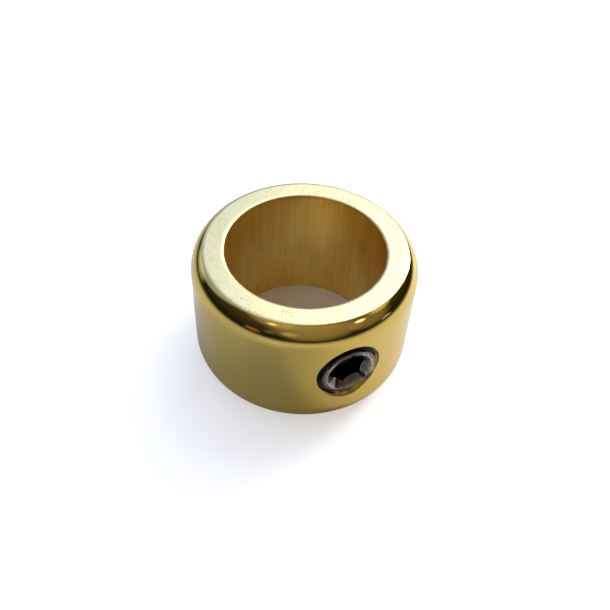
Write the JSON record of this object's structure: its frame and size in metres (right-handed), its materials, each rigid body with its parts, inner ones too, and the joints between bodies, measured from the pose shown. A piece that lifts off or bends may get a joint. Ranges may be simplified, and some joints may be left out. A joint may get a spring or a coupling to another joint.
{
  "type": "shaft collar",
  "caption": "Short round collar that slips over a rod or tube and is locked in place by a radial socket set screw in its wall.",
  "frame": {"origin": "centre of the bore at the collar's bottom face, which it stands on", "axes": "+Z along the bore, from the bottom face to the top face; the set screw's axis is parallel to Y, with its socket facing -Y"},
  "size_m": [0.028, 0.028, 0.0168],
  "materials": {
    "gold_plated_brass": "mirror-polished gold plating outside, satin turned end faces and bore",
    "black_oxide_steel": "glossy black oxide with bright worn edges"
  },
  "bodies": {
    "collar": {"collar": "gold_plated_brass"},
    "set_screw": {"set_screw": "black_oxide_steel"}
  },
  "joints": [
    {"name": "set_screw_travel", "type": "slide", "parent": "collar", "child": "set_screw", "axis": [0, 1, 0], "range_m": [-0.0025, 0.0025]}
  ]
}
